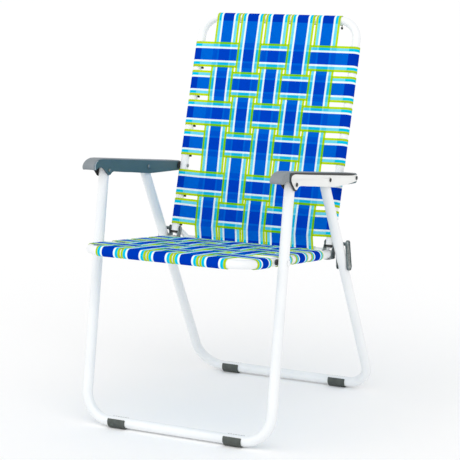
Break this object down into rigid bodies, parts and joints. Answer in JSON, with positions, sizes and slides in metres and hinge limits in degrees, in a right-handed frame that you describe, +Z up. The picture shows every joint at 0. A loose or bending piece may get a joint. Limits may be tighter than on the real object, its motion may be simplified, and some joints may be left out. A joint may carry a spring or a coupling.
{
  "type": "folding webbed lawn chair",
  "caption": "Folding garden chair with tube frames, woven striped webbing, armrests and linked folding hinges.",
  "frame": {"origin": "on the floor, under the middle of the chair's outline", "axes": "+X to the sitter's left, which is the right side seen from the front; -Y towards the front, where the sitter's feet are; +Z up"},
  "size_m": [0.4784, 0.6027, 0.8596],
  "materials": {
    "white_powder_coat": "white powder coat",
    "white_arm_plate": "white powder coat, embossed",
    "grey_armrest_plastic": "fine grain",
    "black_plastic": "moulded",
    "foot_plastic": "ribbed",
    "zinc_steel": "zinc plated",
    "woven_webbing": "striped woven polypropylene"
  },
  "bodies": {
    "rear_legs": {"rear_leg_frame": "white_powder_coat", "right_rear_foot_clip": "foot_plastic", "left_rear_foot_clip": "foot_plastic"},
    "right_arm": {"right_armrest": "grey_armrest_plastic", "right_arm_plate": "white_arm_plate", "right_front_leg_rivet": "zinc_steel", "right_rear_leg_rivet": "zinc_steel", "right_back_rivet": "zinc_steel", "right_back_washer": "black_plastic"},
    "left_arm": {"left_armrest": "grey_armrest_plastic", "left_arm_plate": "white_arm_plate", "left_front_leg_rivet": "zinc_steel", "left_rear_leg_rivet": "zinc_steel", "left_back_rivet": "zinc_steel", "left_back_washer": "black_plastic"},
    "front_legs": {"front_leg_frame": "white_powder_coat", "right_front_foot_clip": "foot_plastic", "left_front_foot_clip": "foot_plastic", "right_seat_pivot_bolt": "zinc_steel", "right_seat_pivot_spacer": "black_plastic", "left_seat_pivot_bolt": "zinc_steel", "left_seat_pivot_spacer": "black_plastic"},
    "back": {"back_frame": "white_powder_coat", "back_lower_crossbar": "white_powder_coat", "right_back_tube_cap": "black_plastic", "left_back_tube_cap": "black_plastic", "back_vertical_web_1": "woven_webbing", "back_vertical_web_2": "woven_webbing", "back_vertical_web_3": "woven_webbing", "back_vertical_web_4": "woven_webbing", "back_vertical_web_5": "woven_webbing", "back_cross_web_1": "woven_webbing", "back_cross_web_2": "woven_webbing", "back_cross_web_3": "woven_webbing", "back_cross_web_4": "woven_webbing", "back_cross_web_5": "woven_webbing", "back_cross_web_6": "woven_webbing"},
    "seat": {"seat_frame": "white_powder_coat", "seat_rear_crossbar": "white_powder_coat", "right_hinge_bracket": "zinc_steel", "right_hinge_pin": "zinc_steel", "left_hinge_bracket": "zinc_steel", "left_hinge_pin": "zinc_steel", "seat_lengthwise_web_1": "woven_webbing", "seat_lengthwise_web_2": "woven_webbing", "seat_lengthwise_web_3": "woven_webbing", "seat_lengthwise_web_4": "woven_webbing", "seat_lengthwise_web_5": "woven_webbing", "seat_cross_web_1": "woven_webbing", "seat_cross_web_2": "woven_webbing", "seat_cross_web_3": "woven_webbing", "seat_cross_web_4": "woven_webbing"},
    "right_links": {"right_inner_link": "zinc_steel", "right_outer_link": "zinc_steel", "right_link_pin": "zinc_steel", "right_link_rivet": "zinc_steel"},
    "left_links": {"left_inner_link": "zinc_steel", "left_outer_link": "zinc_steel", "left_link_pin": "zinc_steel", "left_link_rivet": "zinc_steel"}
  },
  "joints": [
    {"name": "right_arm_fold", "type": "hinge", "parent": "rear_legs", "child": "right_arm", "pos_m": [0.221, 0.015, 0.5282], "axis": [-1, 0, 0], "range_deg": [0, 45.5]},
    {"name": "left_arm_fold", "type": "hinge", "parent": "rear_legs", "child": "left_arm", "pos_m": [-0.221, 0.015, 0.5282], "axis": [-1, 0, 0], "range_deg": [0, 45.5]},
    {"name": "front_legs_fold", "type": "hinge", "parent": "right_arm", "child": "front_legs", "pos_m": [0, -0.1505, 0.5402], "axis": [1, 0, 0], "range_deg": [0, 80]},
    {"name": "back_fold", "type": "hinge", "parent": "right_arm", "child": "back", "pos_m": [0, 0.1539, 0.5145], "axis": [1, 0, 0], "range_deg": [0, 85.8]},
    {"name": "seat_fold", "type": "hinge", "parent": "front_legs", "child": "seat", "pos_m": [0, -0.17666, 0.38185], "axis": [-1, 0, 0], "range_deg": [0, 83.1]},
    {"name": "right_links_swing", "type": "hinge", "parent": "rear_legs", "child": "right_links", "pos_m": [0.221, 0.12416, 0.32201], "axis": [-1, 0, 0], "range_deg": [0, 145.5]},
    {"name": "left_links_swing", "type": "hinge", "parent": "rear_legs", "child": "left_links", "pos_m": [-0.221, 0.12416, 0.32201], "axis": [-1, 0, 0], "range_deg": [0, 145.5]}
  ],
  "couplings": [
    {"joint": "left_arm_fold", "follows": "right_arm_fold", "ratio": 1},
    {"joint": "front_legs_fold", "follows": "right_arm_fold", "ratio": 1.7564},
    {"joint": "back_fold", "follows": "right_arm_fold", "ratio": 1.8844},
    {"joint": "seat_fold", "follows": "right_arm_fold", "ratio": 1.8262},
    {"joint": "right_links_swing", "follows": "right_arm_fold", "ratio": 3.197},
    {"joint": "left_links_swing", "follows": "right_arm_fold", "ratio": 3.197}
  ]
}
